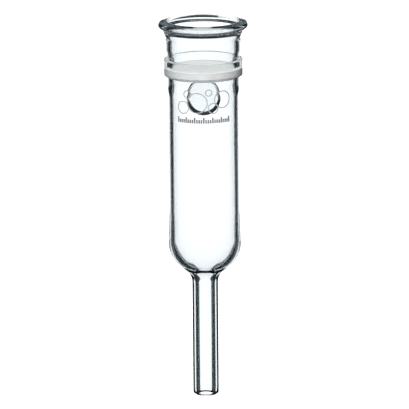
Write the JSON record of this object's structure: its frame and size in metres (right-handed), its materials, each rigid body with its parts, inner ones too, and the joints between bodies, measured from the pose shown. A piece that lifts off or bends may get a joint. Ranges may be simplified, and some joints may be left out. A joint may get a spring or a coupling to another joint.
{
  "type": "fritted glass gas diffuser",
  "caption": "Clear blown glass gas diffuser: flared mouth, sintered glass disc in a collar, long chamber, round shoulder, narrow hose stem and a button knob behind.",
  "frame": {"origin": "centre of the glass button knob, which a holder grips", "axes": "+Z along the tube from the stem to the mouth, +Y from the tube out through the knob, +X to the right seen from the front"},
  "size_m": [0.0232, 0.0252, 0.0996],
  "materials": {
    "clear_glass": "clear, fire-polished",
    "sintered_glass": "matt, fine-grained, porous"
  },
  "bodies": {
    "root": {"mouth_rim": "clear_glass", "mouth_tube": "clear_glass", "frit_collar": "clear_glass", "frit_disc": "sintered_glass", "chamber_tube": "clear_glass", "chamber_shoulder": "clear_glass", "stem_tube": "clear_glass", "stem_lip": "clear_glass", "knob_neck": "clear_glass", "knob_button": "clear_glass"}
  },
  "joints": []
}
